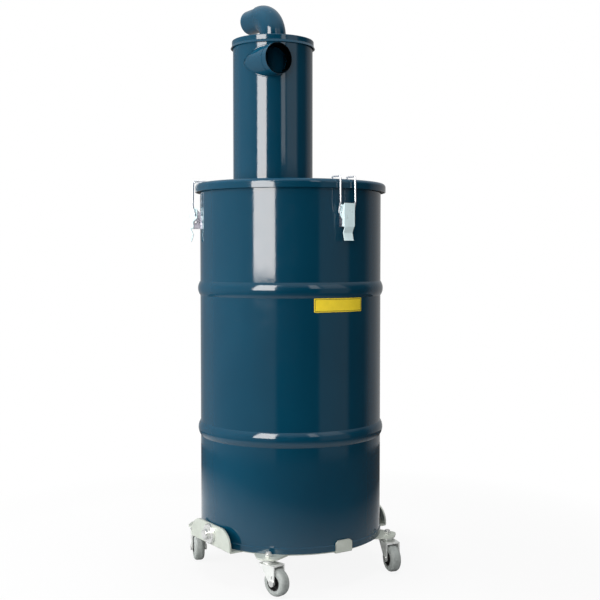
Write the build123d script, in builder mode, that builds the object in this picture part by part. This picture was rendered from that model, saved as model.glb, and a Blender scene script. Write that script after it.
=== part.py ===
from build123d import *
import math
import os

# Mobile cyclone separator: a steel drum on a castor trolley, with a cyclone on its lid.
# Millimetres. The origin is on the floor under the drum's axis, +Z is up and -Y is the front.

os.makedirs("parts", exist_ok=True)

# Clearances
press_gap = 0.05
running_gap = 0.06
play = 0.4
seat_gap = 0.3
cut_overrun = 5.0

# Castors
wheel_radius = 21.5
tyre_width = 17.5
tyre_shoulder = 6.0
hub_radius = 12.3
hub_web = 9.0
hub_boss_radius = 6.5
hub_rim = 2.0
axle_radius = 3.0
axle_head_radius = 5.0
axle_head_height = 1.5
fork_sheet = 2.0
fork_eye_radius = 4.8
fork_side_gap = 1.25
fork_crown_back = 10.0
fork_leg_back = 6.0
fork_crown_gap = 3.0
fork_corner_radius = 2.5
fork_slot_length = 5.0
fork_slot_width = 1.6
fork_slot_rise = 9.0
race_radius = 8.5
race_height = 4.0
race_chamfer = 1.2
trail = 18.0
stem_radius = 4.0
stem_rivet_radius = 6.5
stem_rivet_height = 1.5
stem_flange_radius = 9.5
stem_flange_height = 1.7
nut_radius = 5.4
nut_height = 5.0
stud_end = 2.0
stem_off = 14.0
castor_sides = {"front_left": (-1, -1), "front_right": (1, -1), "rear_left": (-1, 1), "rear_right": (1, 1)}
castor_turns = {"front_left": 14.0, "front_right": -14.0, "rear_left": -22.0, "rear_right": -10.0}

# Trolley plate
plate_sheet = 3.0
plate_inset = 4.0
lug_tip_length = 13.0
lug_tip_width = 28.0
lug_root_width = 54.0
lug_corner_radius = 10.0
wing_width = 128.0
wing_height = 31.5
wing_corner_radius = 29.0
tab_width = 30.0
tab_height = 17.0
tab_corner_radius = 6.5
fold_radius = 2.5
upright_gap = 0.3
bolt_radius = 4.0
bolt_height = 15.0
bolt_head_radius = 8.5
bolt_head_height = 8.0
bolt_head_round = 3.5
washer_radius = 16.0
washer_height = 4.5
washer_round = 1.5

# Drum
drum_radius = 150.0
drum_sheet = 1.5
drum_height = 579.0
chime_height = 9.0
chime_proud = 1.2
bottom_recess = 7.0
hoop_height_shares = (0.305, 0.704)
hoop_half_height = 12.0
hoop_proud = 4.0
bead_height = 7.0

# Lid
lid_sheet = 1.5
lid_overhang = 8.0
lid_skirt = 14.0
lid_round = 6.0
lid_recess = 7.0
lid_fit_gap = 0.5
lid_bead_gap = 1.0
lid_inner_round = 3.0

# Cyclone
cyclone_radius = 65.2
cyclone_sheet = 1.5
cyclone_offset = 34.3
cyclone_top = 810.0
cone_length = 120.0
cone_end_radius = 42.0
cap_sheet = 1.5
cap_skirt = 12.0
cap_lip = 4.0
cap_lip_flare = 2.0
cap_round = 1.4

# Hose spigots and ducts
pipe_radius = 25.0
pipe_sheet = 1.5
inlet_inset = 1.7
inlet_height = 768.0
inlet_reach = 79.0
inlet_swage = 0.4
inlet_swage_length = 12.0
outlet_radius = 21.5
outlet_step = 1.5
elbow_rise = 8.0
elbow_bend = 36.0
outlet_reach = 71.0
vortex_length = 110.0

# Latches
latch_turns = {"front": 0.0, "right": 120.0, "left": -120.0}
latch_sheet = 1.5
latch_pivot_drop = 43.0
latch_pivot_off = 9.5
ear_length = 34.0
ear_round = 3.4
ear_slope = 4.4
ear_side_gap = 0.35
latch_web_length = 18.0
latch_pin_radius = 2.0
ear_hole_radius = 2.0
ear_hole_off = 7.5
ear_hole_drop = 19.5
lever_width = 19.5
lever_off = 16.6
lever_top = 5.5
lever_length = 36.0
tail_width = 17.0
tail_drop = 9.5
tail_dip = 4.3
tail_flap = 12.0
tail_kick = 3.5
tail_bend = 3.0
flange_depth = 5.8
flange_top = 2.0
lobe_off = 4.5
lobe_drop = 13.0
lobe_round = 2.5
bail_drop = 9.0
bail_off = 7.5
wire_radius = 1.4
bail_half = 13.9
bail_kink_rise = 17.0
bail_rim_gap = 2.2
bail_lean = 1.0
bail_over = 4.0
bail_hook_drop = 1.6
bail_hook_inset = 7.0
bail_bend = 3.0
bail_foot_bend = 2.2
bail_kink_bend = 10.0

# Heights and places that follow from the sizes above
wheel_top = 2 * wheel_radius
crown_bottom = wheel_top + fork_crown_gap
crown_top = crown_bottom + fork_sheet
race_top = crown_top + race_height
plate_bottom = race_top + seat_gap + stem_flange_height
drum_base = plate_bottom + plate_sheet
lid_top = drum_base + drum_height
wall_top = lid_top - lid_sheet
panel_top = lid_top - lid_recess
panel_bottom = panel_top - lid_sheet
drum_inside = drum_radius - drum_sheet
lid_radius = drum_radius + lid_overhang
lid_well_radius = drum_inside - lid_fit_gap
cap_top = drum_base + cyclone_top
body_top = cap_top - cap_sheet
cyclone_inside = cyclone_radius - cyclone_sheet
pipe_bore = pipe_radius - pipe_sheet
inlet_x = -cyclone_offset - cyclone_radius + pipe_radius + inlet_inset
inlet_z = drum_base + inlet_height
outlet_bore = outlet_radius - pipe_sheet
elbow_bottom = cap_top + elbow_rise
outlet_z = elbow_bottom + elbow_bend
plate_radius = drum_radius - plate_inset
stem_circle = drum_radius + stem_off
stem_reach = stem_circle / math.sqrt(2)
fork_inside = tyre_width / 2 + fork_side_gap
fork_outside = fork_inside + fork_sheet
upright_off = drum_radius + chime_proud + upright_gap
wing_face = upright_off + plate_sheet
bolt_z = drum_base + bolt_height
pivot_z = lid_top - latch_pivot_drop
pivot_r = drum_radius + latch_pivot_off
bail_z = pivot_z - bail_drop
bail_r = drum_radius + bail_off
lever_r = drum_radius + lever_off


def save(node, label):
    """Name a finished piece and write it to its own file."""
    node.part.label = label
    export_step(node.part, "parts/" + label + ".step")


def placed(shape, x, y, turn):
    """The same piece at another place, turned about a vertical line."""
    with BuildPart() as copy:
        with Locations(Location((x, y, 0), (0, 0, turn))):
            add(shape.part)
    return copy


def wall_line(radius, bottom, top):
    """One side of the drum's wall, with its rolling hoops, as a chain of lines and arcs."""
    start = bottom
    for share in hoop_height_shares:
        crest = drum_base + share * drum_height
        low = crest - hoop_half_height
        high = crest + hoop_half_height
        Line((radius, start), (radius, low))
        ThreePointArc((radius, low), (radius + hoop_proud, crest), (radius, high))
        start = high
    Line((radius, start), (radius, top))


def tube_section(outer, inner):
    """A ring in the current sketch."""
    Circle(outer)
    Circle(inner, mode=Mode.SUBTRACT)


# Drum: a rolled wall with two hoops, a chime at its foot and a bead at its mouth
chime_top = drum_base + chime_height
chime_radius = drum_radius + chime_proud
bead_bottom = wall_top - bead_height
rim_round_r = lid_radius - lid_round
rim_round_z = lid_top - lid_round
bead_round = lid_round - lid_sheet - lid_bead_gap
bead_radius = rim_round_r + bead_round
with BuildPart() as drum_wall:
    with BuildSketch(Plane.XZ):
        with BuildLine():
            Polyline((drum_inside, drum_base), (chime_radius, drum_base), (chime_radius, chime_top),
                     (drum_radius, chime_top + chime_proud))
            wall_line(drum_radius, chime_top + chime_proud, bead_bottom)
            Polyline((drum_radius, bead_bottom), (bead_radius, bead_bottom),
                     (bead_radius, wall_top - bead_round))
            CenterArc((rim_round_r, wall_top - bead_round), bead_round, 0, 90)
            Line((rim_round_r, wall_top), (drum_inside, wall_top))
            wall_line(drum_inside, drum_base, wall_top)
        make_face()
    revolve(axis=Axis.Z)
save(drum_wall, "drum_wall")

with BuildPart() as drum_bottom:
    with BuildSketch(Plane.XY.offset(drum_base + bottom_recess)):
        Circle(drum_inside - press_gap)
    extrude(amount=drum_sheet)
save(drum_bottom, "drum_bottom")

# Lid: a pressed disc with a rounded rim, a skirt over the drum's bead and a sunken panel
skirt_bottom = lid_top - lid_skirt
lid_inner_radius = lid_well_radius - lid_sheet
well_round_r = lid_inner_radius + lid_inner_round
with BuildPart() as lid:
    with BuildSketch(Plane.XZ):
        with BuildLine():
            CenterArc((rim_round_r, rim_round_z), lid_round, 0, 90)
            Line((rim_round_r, lid_top), (well_round_r, lid_top))
            CenterArc((well_round_r, lid_top - lid_inner_round), lid_inner_round, 90, 90)
            Polyline((lid_inner_radius, lid_top - lid_inner_round), (lid_inner_radius, panel_top),
                     (0, panel_top), (0, panel_bottom), (lid_well_radius, panel_bottom),
                     (lid_well_radius, wall_top), (rim_round_r, wall_top))
            CenterArc((rim_round_r, rim_round_z), lid_round - lid_sheet, 0, 90)
            Polyline((lid_radius - lid_sheet, rim_round_z), (lid_radius - lid_sheet, skirt_bottom),
                     (lid_radius, skirt_bottom), (lid_radius, rim_round_z))
        make_face()
    revolve(axis=Axis.Z)
    with BuildSketch(Plane.XY.offset(panel_bottom)):
        with Locations((-cyclone_offset, 0)):
            Circle(cyclone_inside)
    extrude(amount=lid_sheet, mode=Mode.SUBTRACT)
save(lid, "lid")

# Cyclone: a straight cylinder on the lid, with a cone below it, inside the drum
inlet_plane = Plane(origin=(inlet_x, 0, inlet_z), x_dir=(1, 0, 0), z_dir=(0, -1, 0))
with BuildPart() as cyclone_body:
    with BuildSketch(Plane.XY.offset(panel_top)):
        with Locations((-cyclone_offset, 0)):
            tube_section(cyclone_radius, cyclone_inside)
    extrude(amount=body_top - panel_top)
    with BuildSketch(inlet_plane):
        Circle(pipe_bore)
    extrude(amount=inlet_reach, mode=Mode.SUBTRACT)
save(cyclone_body, "cyclone_body")

cone_bottom = panel_bottom - cone_length
with BuildPart() as cyclone_cone:
    with BuildSketch(Plane(origin=(-cyclone_offset, 0, 0), x_dir=(1, 0, 0), z_dir=(0, -1, 0))):
        with BuildLine():
            Polyline((cyclone_inside, panel_bottom), (cyclone_radius, panel_bottom),
                     (cone_end_radius + cyclone_sheet, cone_bottom), (cone_end_radius, cone_bottom),
                     close=True)
        make_face()
    revolve(axis=Axis((-cyclone_offset, 0, 0), (0, 0, 1)))
save(cyclone_cone, "cyclone_cone")

cap_inside = cyclone_radius + seat_gap
cap_radius = cap_inside + cap_sheet
cap_bottom = cap_top - cap_skirt
with BuildPart() as cyclone_cap:
    with BuildSketch(Plane(origin=(-cyclone_offset, 0, 0), x_dir=(1, 0, 0), z_dir=(0, -1, 0))):
        with BuildLine():
            Line((outlet_bore, cap_top), (cap_radius - cap_round, cap_top))
            CenterArc((cap_radius - cap_round, cap_top - cap_round), cap_round, 0, 90)
            Polyline((cap_radius, cap_top - cap_round), (cap_radius, cap_bottom + cap_lip),
                     (cap_radius + cap_lip_flare, cap_bottom), (cap_inside + cap_lip_flare, cap_bottom),
                     (cap_inside, cap_bottom + cap_lip), (cap_inside, body_top), (outlet_bore, body_top),
                     (outlet_bore, cap_top))
        make_face()
    revolve(axis=Axis((-cyclone_offset, 0, 0), (0, 0, 1)))
save(cyclone_cap, "cyclone_cap")

# Inlet: a straight pipe that meets the cyclone's wall along one side, with a swaged end for the hose
swage_start = inlet_reach - inlet_swage_length
with BuildPart() as inlet_pipe:
    with BuildSketch(inlet_plane):
        tube_section(pipe_radius, pipe_bore)
    extrude(amount=swage_start)
    with BuildSketch(inlet_plane.offset(swage_start)):
        tube_section(pipe_radius - inlet_swage, pipe_bore - inlet_swage)
    extrude(amount=inlet_swage_length)
    with BuildSketch(Plane.XY.offset(inlet_z - pipe_radius - cut_overrun)):
        with Locations((-cyclone_offset, 0)):
            Circle(cyclone_radius)
    extrude(amount=2 * (pipe_radius + cut_overrun), mode=Mode.SUBTRACT)
save(inlet_pipe, "inlet_pipe")

# Outlet: a bend on the cap, a spigot on the bend, and the dip tube under the cap
with BuildPart() as outlet_elbow:
    with BuildSketch(Plane.XY.offset(cap_top)):
        with Locations((-cyclone_offset, 0)):
            tube_section(outlet_radius, outlet_bore)
    extrude(amount=elbow_rise)
    with BuildSketch(Plane.XY.offset(elbow_bottom)):
        with Locations((-cyclone_offset, 0)):
            tube_section(outlet_radius, outlet_bore)
    revolve(axis=Axis((-cyclone_offset, elbow_bend, elbow_bottom), (-1, 0, 0)), revolution_arc=90)
save(outlet_elbow, "outlet_elbow")

outlet_plane = Plane(origin=(-cyclone_offset, elbow_bend, outlet_z), x_dir=(-1, 0, 0), z_dir=(0, 1, 0))
with BuildPart() as outlet_spigot:
    with BuildSketch(outlet_plane):
        tube_section(outlet_radius - outlet_step, outlet_bore - outlet_step)
    extrude(amount=outlet_reach - elbow_bend)
save(outlet_spigot, "outlet_spigot")

with BuildPart() as vortex_tube:
    with BuildSketch(Plane.XY.offset(body_top)):
        with Locations((-cyclone_offset, 0)):
            tube_section(outlet_radius, outlet_bore)
    extrude(amount=-vortex_length)
save(vortex_tube, "vortex_tube")

# Trolley plate: a sheet with four castor lugs, two bolted wings and two small tabs folded up
def fold_up(plane, width, height, corner):
    """A plate with rounded top corners, standing on its fold line."""
    with BuildSketch(plane) as outline:
        Rectangle(width, height, align=(Align.CENTER, Align.MIN))
        fillet(outline.vertices().group_by(Axis.Y)[-1], corner)
    extrude(outline.sketch, amount=plate_sheet)


stem_hole = stem_radius + running_gap
bolt_hole = bolt_radius + running_gap
lug_reach = stem_circle + lug_tip_length
with BuildSketch() as lug:
    Polygon((0, lug_root_width / 2), (plate_radius, lug_root_width / 2), (lug_reach, lug_tip_width / 2),
            (lug_reach, -lug_tip_width / 2), (plate_radius, -lug_root_width / 2), (0, -lug_root_width / 2),
            align=None)
    fillet(lug.vertices().group_by(Axis.X)[-1], lug_corner_radius)

with BuildPart() as base_plate:
    with BuildSketch(Plane.XY.offset(plate_bottom)):
        Circle(plate_radius)
        Rectangle(2 * wing_face, wing_width)
        Rectangle(tab_width, 2 * wing_face)
        with PolarLocations(0, len(castor_sides), start_angle=45):
            add(lug.sketch)
        with GridLocations(2 * stem_reach, 2 * stem_reach, 2, 2):
            Circle(stem_hole, mode=Mode.SUBTRACT)
    extrude(amount=plate_sheet)
    for side in (-1, 1):
        wing_plane = Plane(origin=(side * upright_off, 0, plate_bottom), x_dir=(0, side, 0), z_dir=(side, 0, 0))
        tab_plane = Plane(origin=(0, side * upright_off, plate_bottom), x_dir=(-side, 0, 0), z_dir=(0, side, 0))
        fold_up(wing_plane, wing_width, plate_sheet + wing_height, wing_corner_radius)
        fold_up(tab_plane, tab_width, plate_sheet + tab_height, tab_corner_radius)
        with BuildSketch(wing_plane):
            with Locations((0, bolt_z - plate_bottom)):
                Circle(bolt_hole)
        extrude(amount=plate_sheet, mode=Mode.SUBTRACT)
    wing_folds = base_plate.edges().filter_by(Axis.Y).group_by(Axis.Z)[0].sort_by(Axis.X)
    tab_folds = base_plate.edges().filter_by(Axis.X).group_by(Axis.Z)[0].sort_by(Axis.Y)
    fillet([wing_folds[0], wing_folds[-1], tab_folds[0], tab_folds[-1]], fold_radius)
save(base_plate, "base_plate")

with BuildPart() as wing_bolts:
    for side in (-1, 1):
        for start, radius, height in (
            (drum_radius + press_gap, bolt_radius, wing_face - drum_radius - press_gap),
            (wing_face, washer_radius, washer_height),
            (wing_face + washer_height, bolt_head_radius, bolt_head_height),
        ):
            with BuildSketch(Plane(origin=(side * start, 0, bolt_z), x_dir=(0, side, 0), z_dir=(side, 0, 0))):
                Circle(radius)
            extrude(amount=height)
    rims = wing_bolts.edges().filter_by(GeomType.CIRCLE)
    heads = rims.filter_by(lambda rim: rim.radius == bolt_head_radius).sort_by(Axis.X)
    washers = rims.filter_by(lambda rim: rim.radius == washer_radius).sort_by(Axis.X)
    fillet([heads[0], heads[-1]], bolt_head_round)
    fillet([washers[0], washers[-1]], washer_round)
save(wing_bolts, "wing_bolts")

# Latches: a bracket on the drum, a lever that hangs from it and a wire bail hooked over the lid's rim
ear_top = pivot_z + ear_round
ear_bottom = ear_top - ear_length
ear_face = lever_width / 2 - latch_sheet - ear_side_gap
lever_high = pivot_z + lever_top
lever_low = lever_high - lever_length
lever_mid = lever_r - latch_sheet / 2
flange_r = lever_r - flange_depth
flange_high = lever_high - flange_top
lobe_r = drum_radius + lobe_off
lobe_low = pivot_z - lobe_drop
tail_end = lever_low - tail_drop - tail_flap


def side_plane(x):
    """The plane of a latch's side view: outwards from the drum, then up."""
    return Plane(origin=(x, 0, 0), x_dir=(0, -1, 0), z_dir=(-1, 0, 0))


with BuildPart() as latch_base:
    with BuildSketch(side_plane(ear_face)):
        with Locations((pivot_r, pivot_z)):
            Circle(ear_round)
        Polygon((drum_radius, pivot_z - ear_slope), (drum_radius, ear_bottom),
                (pivot_r + ear_round, ear_bottom), align=None)
        make_hull()
        with Locations((drum_radius + ear_hole_off, pivot_z - ear_hole_drop)):
            Circle(ear_hole_radius, mode=Mode.SUBTRACT)
    extrude(amount=latch_sheet)
    mirror(about=Plane.YZ)
    with BuildSketch(side_plane(ear_face)):
        with Locations((drum_radius, ear_bottom)):
            Rectangle(latch_sheet, latch_web_length, align=(Align.MIN, Align.MIN))
    extrude(amount=2 * ear_face)
    with BuildSketch(side_plane(lever_width / 2)):
        with Locations((pivot_r, pivot_z)):
            Circle(latch_pin_radius)
    extrude(amount=lever_width)

with BuildPart() as latch_lever:
    with BuildSketch(side_plane(lever_width / 2)):
        Polygon((lever_r, lever_high), (lever_r, lever_low), (lever_r - latch_sheet, lever_low),
                (lever_r - latch_sheet, lever_high), align=None)
    extrude(amount=lever_width)
    with BuildSketch(side_plane(tail_width / 2)):
        with BuildLine():
            FilletPolyline((lever_mid, lever_high), (lever_mid, lever_low),
                           (lever_mid - tail_dip, lever_low - tail_drop),
                           (lever_mid - tail_dip + tail_kick, tail_end), radius=tail_bend)
        trace(line_width=latch_sheet)
    extrude(amount=tail_width)
    with BuildSketch(side_plane(lever_width / 2)) as flange:
        Polygon((lever_r, flange_high), (lobe_r, flange_high), (lobe_r, lobe_low),
                (flange_r, lobe_low - flange_depth), (flange_r, lever_low), (lever_r, lever_low), align=None)
        fillet(flange.vertices().group_by(Axis.X)[0], lobe_round)
        with Locations((pivot_r, pivot_z)):
            Circle(latch_pin_radius + running_gap, mode=Mode.SUBTRACT)
        with Locations((bail_r, bail_z)):
            Circle(wire_radius + running_gap, mode=Mode.SUBTRACT)
    for side in (lever_width / 2, latch_sheet - lever_width / 2):
        extrude(flange.sketch.moved(Location((side - lever_width / 2, 0, 0))), amount=latch_sheet)

wire_top_r = lid_radius + bail_rim_gap + wire_radius
wire_low_r = wire_top_r + bail_lean
hook_r = lid_inner_radius - bail_hook_inset
hook_z = lid_top - bail_hook_drop
over_z = lid_top + bail_over
foot_tip = lever_width / 2 - latch_sheet + play / 2
right_side = [
    (foot_tip, -bail_r, bail_z),
    (bail_half, -bail_r, bail_z),
    (bail_half, -wire_low_r, bail_z + bail_kink_rise),
    (bail_half, -wire_top_r, over_z),
    (bail_half, -hook_r, over_z),
    (bail_half, -hook_r, hook_z),
]
left_side = [(-x, y, z) for x, y, z in reversed(right_side)]
side_bends = [bail_foot_bend, bail_kink_bend, bail_bend, bail_bend, bail_bend]
with BuildPart() as latch_bail:
    with BuildLine() as wire:
        FilletPolyline(*right_side, *left_side, radius=side_bends + side_bends[::-1])
    with BuildSketch(Plane(origin=right_side[0], z_dir=(1, 0, 0))):
        Circle(wire_radius)
    sweep(path=wire.line)

for name, turn in latch_turns.items():
    save(placed(latch_base, 0, 0, turn), "latch_base_" + name)
    save(placed(latch_lever, 0, 0, turn), "latch_lever_" + name)
    save(placed(latch_bail, 0, 0, turn), "latch_bail_" + name)

# Castors: a stem through the trolley plate, a swivelling fork and a wheel that trails behind it
axle_axis = Axis((0, -trail, wheel_radius), (1, 0, 0))
wheel_plane = Plane(origin=(0, -trail, wheel_radius), x_dir=(1, 0, 0), z_dir=(0, -1, 0))
rivet_top = crown_bottom - seat_gap
rivet_bottom = rivet_top - stem_rivet_height
with BuildPart() as castor_stem:
    with BuildSketch(Plane.XY.offset(rivet_bottom)):
        Circle(stem_rivet_radius)
    extrude(amount=stem_rivet_height)
    with BuildSketch(Plane.XY.offset(rivet_bottom)):
        Circle(stem_radius)
    extrude(amount=drum_base + nut_height + stud_end - rivet_bottom)
    with BuildSketch(Plane.XY.offset(plate_bottom)):
        Circle(stem_flange_radius)
    extrude(amount=-stem_flange_height)
    with BuildSketch(Plane.XY.offset(drum_base)):
        RegularPolygon(nut_radius, 6)
    extrude(amount=nut_height)

crown_front = trail + fork_eye_radius
with BuildPart() as castor_fork:
    with BuildSketch(Plane.XY.offset(crown_bottom)) as crown:
        with Locations((0, fork_crown_back)):
            Rectangle(2 * fork_outside, crown_front + fork_crown_back, align=(Align.CENTER, Align.MAX))
        fillet(crown.vertices().group_by(Axis.Y)[-1], fork_corner_radius)
    extrude(amount=fork_sheet)
    with BuildSketch(Plane.XY.offset(crown_top)):
        Circle(race_radius)
    extrude(amount=race_height)
    chamfer(castor_fork.edges().group_by(Axis.Z)[-1], race_chamfer)
    with BuildSketch(Plane.YZ.offset(fork_inside)):
        with Locations((-trail, wheel_radius)):
            Circle(fork_eye_radius)
        with Locations((fork_leg_back, crown_bottom)):
            Rectangle(crown_front + fork_leg_back, fork_sheet, align=(Align.MAX, Align.MIN))
        make_hull()
        with Locations((-trail, wheel_radius)):
            Circle(axle_radius + press_gap, mode=Mode.SUBTRACT)
        with Locations((-trail, wheel_radius + fork_slot_rise)):
            SlotOverall(fork_slot_length, fork_slot_width, rotation=90, mode=Mode.SUBTRACT)
    extrude(amount=fork_sheet)
    mirror(about=Plane.YZ)
    with BuildSketch(Plane.XY.offset(crown_bottom)):
        Circle(stem_hole)
    extrude(amount=fork_sheet + race_height, mode=Mode.SUBTRACT)

axle_half = fork_outside + axle_head_height
with BuildPart() as castor_axle:
    with BuildSketch(wheel_plane):
        Rectangle(2 * axle_half, axle_radius, align=(Align.CENTER, Align.MIN))
        for side in (-1, 1):
            with Locations((side * (fork_outside + axle_head_height / 2), 0)):
                Rectangle(axle_head_height, axle_head_radius, align=(Align.CENTER, Align.MIN))
    revolve(axis=axle_axis)

with BuildPart() as castor_tyre:
    with BuildSketch(wheel_plane) as tread:
        with Locations((0, hub_radius)):
            Rectangle(tyre_width, wheel_radius - hub_radius, align=(Align.CENTER, Align.MIN))
        fillet(tread.vertices().group_by(Axis.Y)[-1], tyre_shoulder)
    revolve(axis=axle_axis)

hub_bore = axle_radius + running_gap
hub_edge = hub_radius - press_gap
with BuildPart() as castor_hub:
    with BuildSketch(wheel_plane):
        for width, low, high in (
            (tyre_width - hub_rim, hub_edge - hub_rim, hub_edge),
            (hub_web, hub_bore, hub_edge),
            (2 * (fork_inside - seat_gap), hub_bore, hub_boss_radius),
        ):
            with Locations((0, low)):
                Rectangle(width, high - low, align=(Align.CENTER, Align.MIN))
    revolve(axis=axle_axis)

for name, (side_x, side_y) in castor_sides.items():
    x = side_x * stem_reach
    y = side_y * stem_reach
    turn = castor_turns[name]
    save(placed(castor_stem, x, y, 0), "castor_stem_" + name)
    save(placed(castor_fork, x, y, turn), "castor_fork_" + name)
    save(placed(castor_axle, x, y, turn), "castor_axle_" + name)
    save(placed(castor_tyre, x, y, turn), "castor_tyre_" + name)
    save(placed(castor_hub, x, y, turn), "castor_hub_" + name)
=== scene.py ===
import math

import bmesh
import bpy
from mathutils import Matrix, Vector


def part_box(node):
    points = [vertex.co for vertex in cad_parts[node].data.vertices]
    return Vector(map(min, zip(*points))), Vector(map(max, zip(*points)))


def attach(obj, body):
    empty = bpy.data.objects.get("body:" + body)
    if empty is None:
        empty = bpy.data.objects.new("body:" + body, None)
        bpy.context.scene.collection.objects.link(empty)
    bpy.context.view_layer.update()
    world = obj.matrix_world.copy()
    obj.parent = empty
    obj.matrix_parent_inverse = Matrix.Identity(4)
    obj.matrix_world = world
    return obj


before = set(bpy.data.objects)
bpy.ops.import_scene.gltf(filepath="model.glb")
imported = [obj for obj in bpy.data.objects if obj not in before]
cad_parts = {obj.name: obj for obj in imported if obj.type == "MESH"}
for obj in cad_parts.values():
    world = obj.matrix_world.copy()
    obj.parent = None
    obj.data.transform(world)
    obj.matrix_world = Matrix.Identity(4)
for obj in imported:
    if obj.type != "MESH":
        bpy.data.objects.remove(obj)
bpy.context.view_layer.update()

# Mobile cyclone separator. Metres, in the frame's own axes: +Z is up and -Y is the front.

# Camera
camera_azimuth = math.radians(-33.0)
camera_distance = 1.710
camera_height = 0.519
camera_yaw = 0.0093
camera_pitch = 0.0440
camera_lens = 61.35
camera_sensor = 36.0

# Places on the part
drum_radius = 0.150
drum_low, drum_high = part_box("drum_wall")
cyclone_low, cyclone_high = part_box("cyclone_body")
cyclone_x = (cyclone_low.x + cyclone_high.x) / 2
cyclone_radius = (cyclone_high.x - cyclone_low.x) / 2
inlet_low, inlet_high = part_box("inlet_pipe")
inlet_radius = (inlet_high.z - inlet_low.z) / 2
inlet_inset = 0.0017
inlet_off = cyclone_radius - inlet_radius - inlet_inset
inlet_z = (inlet_low.z + inlet_high.z) / 2
elbow_low, elbow_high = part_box("outlet_elbow")
elbow_radius = (elbow_high.x - elbow_low.x) / 2
lid_low, lid_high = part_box("lid")
sheet = 0.0015
# Radii of the bores inside which the enamel is painted dark, as painted shade.
mask_radius = cyclone_radius - sheet / 2
inlet_mask_radius = inlet_radius - sheet / 2


# Materials
def map_range(tree, start, stop, low, high):
    """A node that maps one span of values onto another."""
    node = tree.nodes.new("ShaderNodeMapRange")
    for name, value in (("From Min", start), ("From Max", stop), ("To Min", low), ("To Max", high)):
        node.inputs[name].default_value = value
    return node


def colour_ramp(tree, stops):
    """A ramp node with one colour at each place."""
    node = tree.nodes.new("ShaderNodeValToRGB")
    elements = node.color_ramp.elements
    while len(elements) < len(stops):
        elements.new(0.5)
    for element, (place, colour) in zip(elements, stops):
        element.position = place
        element.color = colour
    return node


class Recipe:
    """A procedural material: a Principled shader with textures in the object's own coordinates."""

    def __init__(self, name, roughness, metallic=0.0):
        self.material = bpy.data.materials.new(name)
        self.material.use_nodes = True
        self.tree = self.material.node_tree
        self.shader = self.tree.nodes["Principled BSDF"]
        self.shader.inputs["Roughness"].default_value = roughness
        self.shader.inputs["Metallic"].default_value = metallic
        self.coords = self.tree.nodes.new("ShaderNodeTexCoord")

    def link(self, output, target):
        self.tree.links.new(output, target)

    def noise(self, scale, detail=3.0, stretch=(1, 1, 1), rough=0.5):
        mapping = self.tree.nodes.new("ShaderNodeMapping")
        mapping.inputs["Scale"].default_value = stretch
        texture = self.tree.nodes.new("ShaderNodeTexNoise")
        texture.inputs["Scale"].default_value = scale
        texture.inputs["Detail"].default_value = detail
        texture.inputs["Roughness"].default_value = rough
        self.link(self.coords.outputs["Object"], mapping.inputs["Vector"])
        self.link(mapping.outputs["Vector"], texture.inputs["Vector"])
        return texture.outputs["Fac"]

    def ramp(self, factor, *stops):
        node = colour_ramp(self.tree, stops)
        self.link(factor, node.inputs["Fac"])
        return node.outputs["Color"]

    def mixed(self, factor, under, over):
        node = self.tree.nodes.new("ShaderNodeMixRGB")
        node.inputs["Color2"].default_value = over
        self.link(factor, node.inputs["Fac"])
        self.link(under, node.inputs["Color1"])
        return node.outputs["Color"]

    def within(self, point, direction, radius):
        """1 nearer than the radius to a line, 0 elsewhere."""
        from_point = self.tree.nodes.new("ShaderNodeVectorMath")
        from_point.operation = "SUBTRACT"
        from_point.inputs[1].default_value = point
        across = self.tree.nodes.new("ShaderNodeVectorMath")
        across.operation = "CROSS_PRODUCT"
        across.inputs[1].default_value = direction
        away = self.tree.nodes.new("ShaderNodeVectorMath")
        away.operation = "LENGTH"
        near = self.tree.nodes.new("ShaderNodeMath")
        near.operation = "LESS_THAN"
        near.inputs[1].default_value = radius
        self.link(self.coords.outputs["Object"], from_point.inputs[0])
        self.link(from_point.outputs["Vector"], across.inputs[0])
        self.link(across.outputs["Vector"], away.inputs[0])
        self.link(away.outputs["Value"], near.inputs[0])
        return near.outputs[0]

    def span(self, factor, low, high, start=0.3, stop=0.7):
        node = map_range(self.tree, start, stop, low, high)
        self.link(factor, node.inputs["Value"])
        return node.outputs["Result"]

    def bump(self, *layers):
        normal = None
        for height, strength, distance in layers:
            node = self.tree.nodes.new("ShaderNodeBump")
            node.inputs["Strength"].default_value = strength
            node.inputs["Distance"].default_value = distance
            self.link(height, node.inputs["Height"])
            if normal:
                self.link(normal, node.inputs["Normal"])
            normal = node.outputs["Normal"]
        self.link(normal, self.shader.inputs["Normal"])

    def colour(self, output):
        self.link(output, self.shader.inputs["Base Color"])

    def roughness(self, output):
        self.link(output, self.shader.inputs["Roughness"])


def gloss_paint(name, painted_shade_bore=None):
    """Stoved teal enamel: faint orange peel and slow drifts of tone; inside a given bore it is painted
    near-black with almost no reflection, as painted shade.
    """
    recipe = Recipe(name, 0.09)
    drift = recipe.noise(7.0, 4.0)
    tone = recipe.ramp(drift, (0.3, (0.0008, 0.031, 0.059, 1)), (0.7, (0.0012, 0.036, 0.067, 1)))
    if painted_shade_bore:
        # Painted shade: inside the bore the colour goes near-black and the reflection is turned nearly off.
        inside = recipe.within(*painted_shade_bore)
        tone = recipe.mixed(inside, tone, (0.0006, 0.0008, 0.0010, 1))
        recipe.link(recipe.span(inside, 0.5, 0.02, 0.0, 1.0), recipe.shader.inputs["Specular IOR Level"])
    recipe.colour(tone)
    recipe.roughness(recipe.span(recipe.noise(60.0, 5.0), 0.06, 0.12))
    recipe.bump((recipe.noise(420.0, 2.0), 0.05, 0.0004), (recipe.noise(24.0, 2.0), 0.04, 0.002))
    return recipe.material


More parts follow.
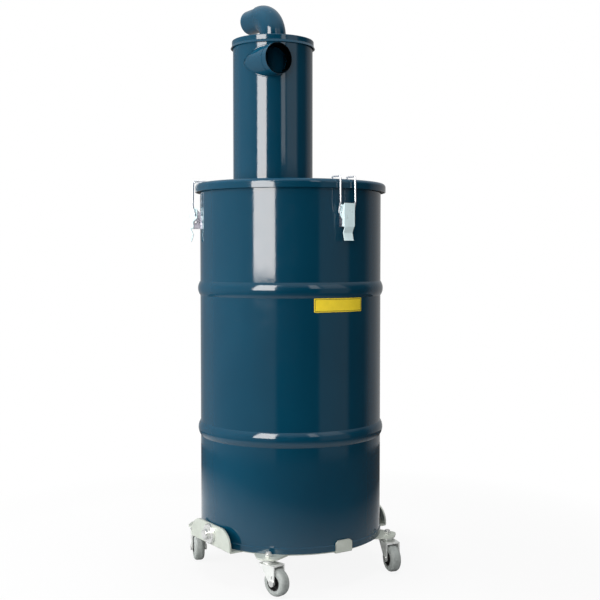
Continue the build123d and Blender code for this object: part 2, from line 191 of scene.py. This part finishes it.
def zinc(name, dark, light, metallic, roughness, streak):
    """Zinc plate: a fine grain, soft mottling and faint drawing lines along one direction."""
    recipe = Recipe(name, roughness, metallic)
    mottle = recipe.noise(55.0, 5.0, rough=0.65)
    recipe.colour(recipe.ramp(mottle, (0.32, dark), (0.68, light)))
    recipe.roughness(recipe.span(recipe.noise(130.0, 4.0), roughness - 0.08, roughness + 0.08))
    recipe.bump((recipe.noise(700.0, 2.0, streak), 0.03, 0.0002))
    return recipe.material


def rubber():
    """Grey rubber: matt, with a fine grain and paler scuffs."""
    recipe = Recipe("grey_rubber", 0.6)
    scuff = recipe.noise(160.0, 6.0, rough=0.7)
    recipe.colour(recipe.ramp(scuff, (0.3, (0.195, 0.212, 0.203, 1)), (0.72, (0.280, 0.300, 0.290, 1))))
    recipe.roughness(recipe.span(recipe.noise(300.0, 3.0), 0.5, 0.7))
    recipe.bump((recipe.noise(2200.0, 3.0), 0.15, 0.0003))
    return recipe.material


def moulded(name, dark, light, low, high, scale):
    """Moulded or printed surface: two near tones, an uneven sheen and a fine grain."""
    recipe = Recipe(name, (low + high) / 2)
    recipe.colour(recipe.ramp(recipe.noise(scale, 4.0), (0.3, dark), (0.7, light)))
    recipe.roughness(recipe.span(recipe.noise(scale * 3, 3.0), low, high))
    recipe.bump((recipe.noise(1800.0, 2.0), 0.08, 0.0002))
    return recipe.material


inlet_out = (0.0, -1.0, 0.0)
inlet_centre = (cyclone_x - inlet_off, 0.0, inlet_z)
cyclone_centre = (cyclone_x, 0.0, cyclone_low.z)

paint = gloss_paint("teal_enamel")
# Enamel for the inlet pipe and the cyclone body, with painted shade inside their bores.
inlet_paint_shaded_bore = gloss_paint("inlet_enamel_painted_shade", (inlet_centre, inlet_out, inlet_mask_radius))
cyclone_paint_shaded_bore = gloss_paint("cyclone_enamel_painted_shade", (cyclone_centre, (0.0, 0.0, 1.0), mask_radius))
plate_zinc = zinc("plate_zinc", (0.56, 0.60, 0.54, 1), (0.64, 0.68, 0.62, 1), 0.70, 0.45, (1, 1, 0.08))
latch_zinc = zinc("latch_zinc", (0.66, 0.82, 0.84, 1), (0.72, 0.88, 0.90, 1), 0.15, 0.34, (1, 1, 0.08))
bracket_zinc = zinc("bracket_zinc", (0.33, 0.33, 0.39, 1), (0.40, 0.40, 0.46, 1), 0.85, 0.30, (1, 1, 0.08))
wire_zinc = zinc("wire_zinc", (0.70, 0.72, 0.76, 1), (0.78, 0.80, 0.84, 1), 0.70, 0.28, (1, 1, 0.2))
fork_zinc = zinc("fork_zinc", (0.66, 0.68, 0.66, 1), (0.74, 0.76, 0.74, 1), 0.55, 0.38, (0.1, 1, 1))
bright_steel = zinc("bright_steel", (0.62, 0.63, 0.62, 1), (0.70, 0.71, 0.70, 1), 0.80, 0.30, (1, 1, 1))
tyre_rubber = rubber()
hub_plastic = moulded("hub_plastic", (0.003, 0.003, 0.003, 1), (0.006, 0.006, 0.006, 1), 0.55, 0.7, 300.0)
plate_yellow = moulded("plate_yellow", (0.80, 0.60, 0.026, 1), (0.88, 0.66, 0.030, 1), 0.3, 0.42, 90.0)
plate_border = moulded("plate_border", (0.010, 0.010, 0.010, 1), (0.018, 0.018, 0.018, 1), 0.35, 0.5, 90.0)
# Black rubber for the lid seal; it also darkens the shaded gap under the lid's skirt, as painted shade.
seal_rubber_shade_line = moulded("seal_rubber_shade_line", (0.006, 0.006, 0.006, 1), (0.012, 0.012, 0.012, 1), 0.5, 0.7, 120.0)

finishes = {
    "drum_": paint, "lid": paint, "cyclone_": paint, "cyclone_body": cyclone_paint_shaded_bore, "inlet_": inlet_paint_shaded_bore,
    "outlet_": paint, "vortex_": paint, "base_plate": plate_zinc, "wing_bolts": bright_steel,
    "latch_base_": bracket_zinc, "latch_lever_": latch_zinc, "latch_bail_": wire_zinc,
    "castor_stem_": bright_steel, "castor_axle_": bright_steel, "castor_fork_": fork_zinc,
    "castor_tyre_": tyre_rubber, "castor_hub_": hub_plastic,
}


def dress(obj, material):
    """Give an object one material."""
    obj.data.materials.clear()
    obj.data.materials.append(material)


for node_name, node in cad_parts.items():
    for start, finish in finishes.items():
        if node_name.startswith(start):
            dress(node, finish)


# Pieces
def piece(name, mesh_builder, material, body):
    """Turn a filled bmesh into a smooth-shaded piece that rides on a body."""
    bmesh.ops.recalc_face_normals(mesh_builder, faces=mesh_builder.faces)
    mesh = bpy.data.meshes.new(name)
    mesh_builder.to_mesh(mesh)
    mesh_builder.free()
    obj = bpy.data.objects.new(name, mesh)
    bpy.context.collection.objects.link(obj)
    mesh.shade_smooth()
    mesh.set_sharp_from_angle(angle=math.radians(40))
    dress(obj, material)
    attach(obj, body)
    return obj


def wall_point(radius, azimuth, height):
    """A point round the drum's axis; azimuth 0 is the front."""
    return Vector((radius * math.sin(azimuth), -radius * math.cos(azimuth), height))


def bead(name, path, radius, pitch, material, body, closed=True, sides=8, ripple=0.12):
    """A weld bead along a line of points, with the ripples of its passes."""
    builder = bmesh.new()
    count = len(path)
    rings = []
    run = 0.0
    for index, point in enumerate(path):
        ahead = path[(index + 1) % count] if closed else path[min(index + 1, count - 1)]
        behind = path[index - 1] if closed else path[max(index - 1, 0)]
        tangent = (ahead - behind).normalized()
        side = tangent.orthogonal().normalized()
        if rings:
            side = (last_side - tangent * last_side.dot(tangent)).normalized()
        last_side = side
        up = tangent.cross(side)
        swell = radius * (1 - ripple + ripple * abs(math.sin(math.pi * run / pitch)))
        ring = []
        for step in range(sides):
            angle = 2 * math.pi * step / sides
            ring.append(builder.verts.new(point + swell * (math.cos(angle) * side + math.sin(angle) * up)))
        rings.append(ring)
        run += (ahead - point).length
    first = rings[0]
    offset = min(range(sides), key=lambda k: (rings[-1][0].co - first[k].co).length)
    for index, ring in enumerate(rings if closed else rings[:-1]):
        following = rings[(index + 1) % count]
        shift = offset if index == count - 1 else 0
        for step in range(sides):
            after = (step + 1) % sides
            builder.faces.new((ring[step], ring[after], following[(after + shift) % sides],
                               following[(step + shift) % sides]))
    return piece(name, builder, material, body)


def loop(count, place):
    """Points of a closed loop from a function of the angle."""
    return [place(2 * math.pi * index / count) for index in range(count)]


def cyclone_ring(radius, height):
    """A level ring round the cyclone's axis."""
    return lambda angle: Vector((cyclone_x + radius * math.cos(angle), radius * math.sin(angle), height))


def inlet_seam(angle):
    """The line where the inlet pipe meets the cyclone's wall."""
    side = -inlet_off + inlet_radius * math.cos(angle)
    depth = math.sqrt(cyclone_radius ** 2 - side ** 2)
    return Vector((cyclone_x + side, -depth, inlet_z + inlet_radius * math.sin(angle)))


weld_radius = 0.0013
foot_weld_radius = 0.0016
seam_radius = 0.0009
seam_margin = 0.012
weld_pitch = 0.0026
bead("weld_cyclone_foot", loop(480, cyclone_ring(cyclone_radius, cyclone_low.z)), foot_weld_radius, weld_pitch,
     paint, "drum")
bead("weld_outlet_foot", loop(200, cyclone_ring(elbow_radius, elbow_low.z)), weld_radius, weld_pitch, paint,
     "drum")
bead("weld_inlet", loop(240, inlet_seam), weld_radius, weld_pitch, paint, "drum")


def seam_line(azimuth, low, high, count):
    """Points up the drum's wall, over its hoops."""
    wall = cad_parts["drum_wall"]
    inverse = wall.matrix_world.inverted()
    points = []
    for index in range(count):
        start = wall_point(2 * drum_radius, azimuth, low + (high - low) * index / (count - 1))
        inward = Vector((-start.x, -start.y, 0)).normalized()
        found, place, _, _ = wall.ray_cast(inverse @ start, inverse.to_3x3() @ inward)
        if found:
            points.append(wall.matrix_world @ place)
    return points


bead("weld_drum_seam", seam_line(math.pi, drum_low.z + seam_margin, drum_high.z - seam_margin, 420),
     seam_radius, weld_pitch, paint, "drum", closed=False)


def lathe(name, origin, axis, section, material, body, segments=128):
    """A closed section of (radius, height) points turned about an axis."""
    builder = bmesh.new()
    axis = axis.normalized()
    side = axis.orthogonal().normalized()
    up = axis.cross(side)
    rings = []
    for index in range(segments):
        angle = 2 * math.pi * index / segments
        out = math.cos(angle) * side + math.sin(angle) * up
        rings.append([builder.verts.new(origin + radius * out + height * axis) for radius, height in section])
    for index, ring in enumerate(rings):
        following = rings[(index + 1) % segments]
        for step in range(len(section)):
            after = (step + 1) % len(section)
            builder.faces.new((ring[step], ring[after], following[after], following[step]))
    bmesh.ops.remove_doubles(builder, verts=builder.verts, dist=1e-7)
    return piece(name, builder, material, body)


# A black rubber seal ring under the lid's skirt: partly a real gasket, partly put there as painted shade to
# darken the gap between the skirt and the drum.
seal_rise = 0.0004
seal_height = 0.0018
seal_gap = 0.0002
seal_low = lid_low.z + seal_rise
seal_high = seal_low + seal_height
seal_in = drum_radius + seal_gap
seal_out = lid_high.x - sheet - seal_gap
seal_lip = 0.0006
lathe("lid_seal_shade_line", Vector((0, 0, 0)), Vector((0, 0, 1)),
      [(seal_in, seal_low + seal_lip), (seal_in + seal_lip, seal_low), (seal_out - seal_lip, seal_low),
       (seal_out, seal_low + seal_lip), (seal_out, seal_high), (seal_in, seal_high)],
      seal_rubber_shade_line, "drum")

latch_turns = {"front": 0.0, "right": 120.0, "left": -120.0}
latch_pivot_off = 0.0095
latch_pivot_drop = 0.043
latch_pivot_r = drum_radius + latch_pivot_off
latch_pivot_z = lid_high.z - latch_pivot_drop
lever_half = 0.00975
pin_head = [(0.0, 0.00005), (0.0027, 0.00005), (0.0027, 0.0003), (0.0022, 0.0008), (0.0012, 0.0011),
            (0.0, 0.0012)]
for latch, turn in latch_turns.items():
    turn = math.radians(turn)
    for hand, sign in (("right", 1), ("left", -1)):
        along = sign * Vector((math.cos(turn), math.sin(turn), 0))
        lathe("pin_%s_%s" % (latch, hand), wall_point(latch_pivot_r, turn, latch_pivot_z) + lever_half * along,
              along, pin_head, latch_zinc, "drum", segments=24)


def bent_plate(name, width, height, corner, base, thickness, azimuth, middle, material):
    """A thin plate with rounded corners, rolled to lie on the drum's wall."""
    builder = bmesh.new()
    columns = 48
    corner_columns = 8
    quarter = math.pi / 2
    places = [-width / 2 + corner * (1 - math.cos(quarter * k / corner_columns)) for k in range(corner_columns)]
    flat = width - 2 * corner
    places += [-flat / 2 + flat * k / columns for k in range(columns + 1)]
    places += [-place for place in reversed(places[:corner_columns])]
    rows = []
    for place in places:
        inside = max(abs(place) - flat / 2, 0.0)
        half = height / 2 - corner + math.sqrt(max(corner ** 2 - inside ** 2, 0.0))
        turn = azimuth + place / (drum_radius + base)
        rows.append([builder.verts.new(wall_point(drum_radius + off, turn, middle + sign * half))
                     for off, sign in ((base, -1), (base + thickness, -1), (base + thickness, 1), (base, 1))])
    for left, right in zip(rows, rows[1:]):
        for step in range(4):
            after = (step + 1) % 4
            builder.faces.new((left[step], right[step], right[after], left[after]))
    builder.faces.new(rows[0])
    builder.faces.new(rows[-1])
    return piece(name, builder, material, "drum")


label_azimuth = math.radians(-2.2)
label_z = 0.4415
label_film = 0.0002
label_layers = {
    "plate_base": (0.0885, 0.0215, 0.0012, 0.0001, plate_yellow),
    "plate_frame": (0.0856, 0.0186, 0.0008, 0.0002, plate_border),
    "plate_face": (0.0842, 0.0172, 0.0006, 0.0003, plate_yellow),
}
for layer, (width, height, corner, base, material) in label_layers.items():
    bent_plate(layer, width, height, corner, base, label_film, label_azimuth, label_z, material)

# Stage
floor_radius = 1.15
floor_glow_from, floor_glow_to = 0.90, 1.0
floor_pale, floor_dark = 0.36, 0.05
floor_shift = 0.15
backdrop_white = (1.0, 1.0, 1.0, 1)
ceiling_grey = (0.70, 0.70, 0.70, 1)
room_levels = ((-180, 0.40), (-141, 0.28), (-117, 0.42), (-52, 0.33), (-48, 0.34), (-20, 0.30), (-16, 0.02),
               (34, 0.02), (38, 0.26), (74, 0.28), (80, 0.03), (106, 0.05), (122, 0.33), (145, 0.42),
               (180, 0.40))


def math_node(tree, operation, kind="ShaderNodeMath"):
    """A new math node of one operation."""
    node = tree.nodes.new(kind)
    node.operation = operation
    return node


def room_tones(tree):
    """The room by direction: walls and panels by angle from the camera, and a ceiling."""
    link = tree.links.new
    coords = tree.nodes.new("ShaderNodeTexCoord")
    turn = tree.nodes.new("ShaderNodeMapping")
    turn.inputs["Rotation"].default_value = (0, 0, -camera_azimuth)
    split = tree.nodes.new("ShaderNodeSeparateXYZ")
    flip = math_node(tree, "MULTIPLY")
    flip.inputs[1].default_value = -1
    angle = math_node(tree, "ARCTAN2")
    share = map_range(tree, -math.pi, math.pi, 0.0, 1.0)
    stops = [((degrees + 180) / 360, (level, level, level, 1)) for degrees, level in room_levels]
    walls = colour_ramp(tree, stops)
    overhead_share = map_range(tree, 0.35, 0.75, 0.0, 1.0)
    ceiling = tree.nodes.new("ShaderNodeMixRGB")
    ceiling.inputs["Color2"].default_value = ceiling_grey
    link(coords.outputs["Generated"], turn.inputs["Vector"])
    link(turn.outputs["Vector"], split.inputs["Vector"])
    link(split.outputs["Y"], flip.inputs[0])
    link(split.outputs["X"], angle.inputs[0])
    link(flip.outputs[0], angle.inputs[1])
    link(angle.outputs[0], share.inputs["Value"])
    link(share.outputs["Result"], walls.inputs["Fac"])
    link(split.outputs["Z"], overhead_share.inputs["Value"])
    link(overhead_share.outputs["Result"], ceiling.inputs["Fac"])
    link(walls.outputs["Color"], ceiling.inputs["Color1"])
    return ceiling.outputs["Color"]


def studio_world():
    """White to the camera; to the part, a dim room with pale panels."""
    world = bpy.data.worlds.new("studio")
    bpy.context.scene.world = world
    world.use_nodes = True
    tree = world.node_tree
    link = tree.links.new
    path = tree.nodes.new("ShaderNodeLightPath")
    seen = math_node(tree, "MAXIMUM")
    mix = tree.nodes.new("ShaderNodeMixRGB")
    mix.inputs["Color2"].default_value = backdrop_white
    link(path.outputs["Is Camera Ray"], seen.inputs[0])
    link(path.outputs["Is Transmission Ray"], seen.inputs[1])
    link(seen.outputs[0], mix.inputs["Fac"])
    link(room_tones(tree), mix.inputs["Color1"])
    link(mix.outputs["Color"], tree.nodes["Background"].inputs["Color"])


def floor_material():
    """Pale near the part, with a glow to the camera that fades it into the background."""
    material = bpy.data.materials.new("floor_white")
    material.use_nodes = True
    tree = material.node_tree
    link = tree.links.new
    shader = tree.nodes["Principled BSDF"]
    shader.inputs["Roughness"].default_value = 0.9
    shader.inputs["Specular IOR Level"].default_value = 0.0
    glow = tree.nodes.new("ShaderNodeEmission")
    coords = tree.nodes.new("ShaderNodeTexCoord")
    length = math_node(tree, "LENGTH", "ShaderNodeVectorMath")
    aside = math_node(tree, "DISTANCE", "ShaderNodeVectorMath")
    aside.inputs[1].default_value = wall_point(floor_shift, camera_azimuth - math.radians(105), 0.0)
    fade = map_range(tree, 0.25, 0.8, floor_glow_from, floor_glow_to)
    sweep = map_range(tree, 0.42, 0.78, floor_pale, floor_dark)
    path = tree.nodes.new("ShaderNodeLightPath")
    share = math_node(tree, "MULTIPLY")
    mix = tree.nodes.new("ShaderNodeMixShader")
    link(coords.outputs["Object"], length.inputs[0])
    link(length.outputs["Value"], fade.inputs["Value"])
    link(coords.outputs["Object"], aside.inputs[0])
    link(aside.outputs["Value"], sweep.inputs["Value"])
    link(sweep.outputs["Result"], shader.inputs["Base Color"])
    link(fade.outputs["Result"], share.inputs[0])
    link(path.outputs["Is Camera Ray"], share.inputs[1])
    link(share.outputs[0], mix.inputs["Fac"])
    link(shader.outputs["BSDF"], mix.inputs[1])
    link(glow.outputs["Emission"], mix.inputs[2])
    link(mix.outputs["Shader"], tree.nodes["Material Output"].inputs["Surface"])
    return material


def studio_floor():
    """A disc that keeps the part's shadow."""
    builder = bmesh.new()
    bmesh.ops.create_circle(builder, cap_ends=True, segments=96, radius=floor_radius)
    mesh = bpy.data.meshes.new("floor")
    builder.to_mesh(mesh)
    builder.free()
    floor = bpy.data.objects.new("floor", mesh)
    bpy.context.collection.objects.link(floor)
    dress(floor, floor_material())


def softbox(name, azimuth, distance, low, high, width, radiance, tint, mirrored=True):
    """An upright lamp that faces the drum's axis; it shows in reflections only, or lights surfaces only."""
    lamp = bpy.data.lights.new(name, "AREA")
    lamp.shape = "RECTANGLE"
    lamp.size = width
    lamp.size_y = high - low
    lamp.color = tint
    lamp.energy = radiance * math.pi * width * (high - low)
    obj = bpy.data.objects.new(name, lamp)
    bpy.context.collection.objects.link(obj)
    turn = math.radians(azimuth)
    obj.location = wall_point(distance, turn, (low + high) / 2)
    obj.rotation_euler = (math.pi / 2, 0, turn)
    obj.visible_camera = False
    obj.visible_glossy = mirrored
    obj.visible_diffuse = not mirrored
    return obj


def overhead(name, height, width, radiance):
    """A square lamp above the part, facing down; it lights surfaces only."""
    lamp = bpy.data.lights.new(name, "AREA")
    lamp.size = width
    lamp.energy = radiance * math.pi * width ** 2
    obj = bpy.data.objects.new(name, lamp)
    bpy.context.collection.objects.link(obj)
    obj.location = (0, 0, height)
    obj.visible_camera = False
    obj.visible_glossy = False
    return obj


strip_distance = 1.5
wash_distance = 1.8
lamp_top = 1.80
wash_low, wash_high, wash_width = 0.15, 1.55, 1.2
warm_white = (1.0, 0.95, 0.91)
white = (1.0, 1.0, 1.0)
studio_world()
studio_floor()
softbox("strip_left", -64.0, strip_distance, 0.455, lamp_top, 0.70, 13.8, warm_white)
softbox("strip_right", -4.0, strip_distance, 0.80, lamp_top, 0.30, 2.0, white)
softbox("panel_right", 22.0, strip_distance, 0.78, lamp_top, 0.80, 0.45, white)
softbox("wash_left", -113.0, wash_distance, wash_low, wash_high, wash_width, 10.9, white, mirrored=False)
softbox("wash_front", -43.0, wash_distance, wash_low, wash_high, wash_width, 4.6, white, mirrored=False)
overhead("wash_top", 3.0, 1.0, 30.0)

# Camera and size
bpy.context.scene.view_settings.view_transform = "Standard"
camera_data = bpy.data.cameras.new("camera")
camera_data.lens = camera_lens
camera_data.sensor_width = camera_sensor
camera = bpy.data.objects.new("camera", camera_data)
bpy.context.collection.objects.link(camera)
camera.location = wall_point(camera_distance, camera_azimuth, camera_height)
camera.rotation_euler = (math.pi / 2 - camera_pitch, 0, camera_azimuth - camera_yaw)
bpy.context.scene.camera = camera
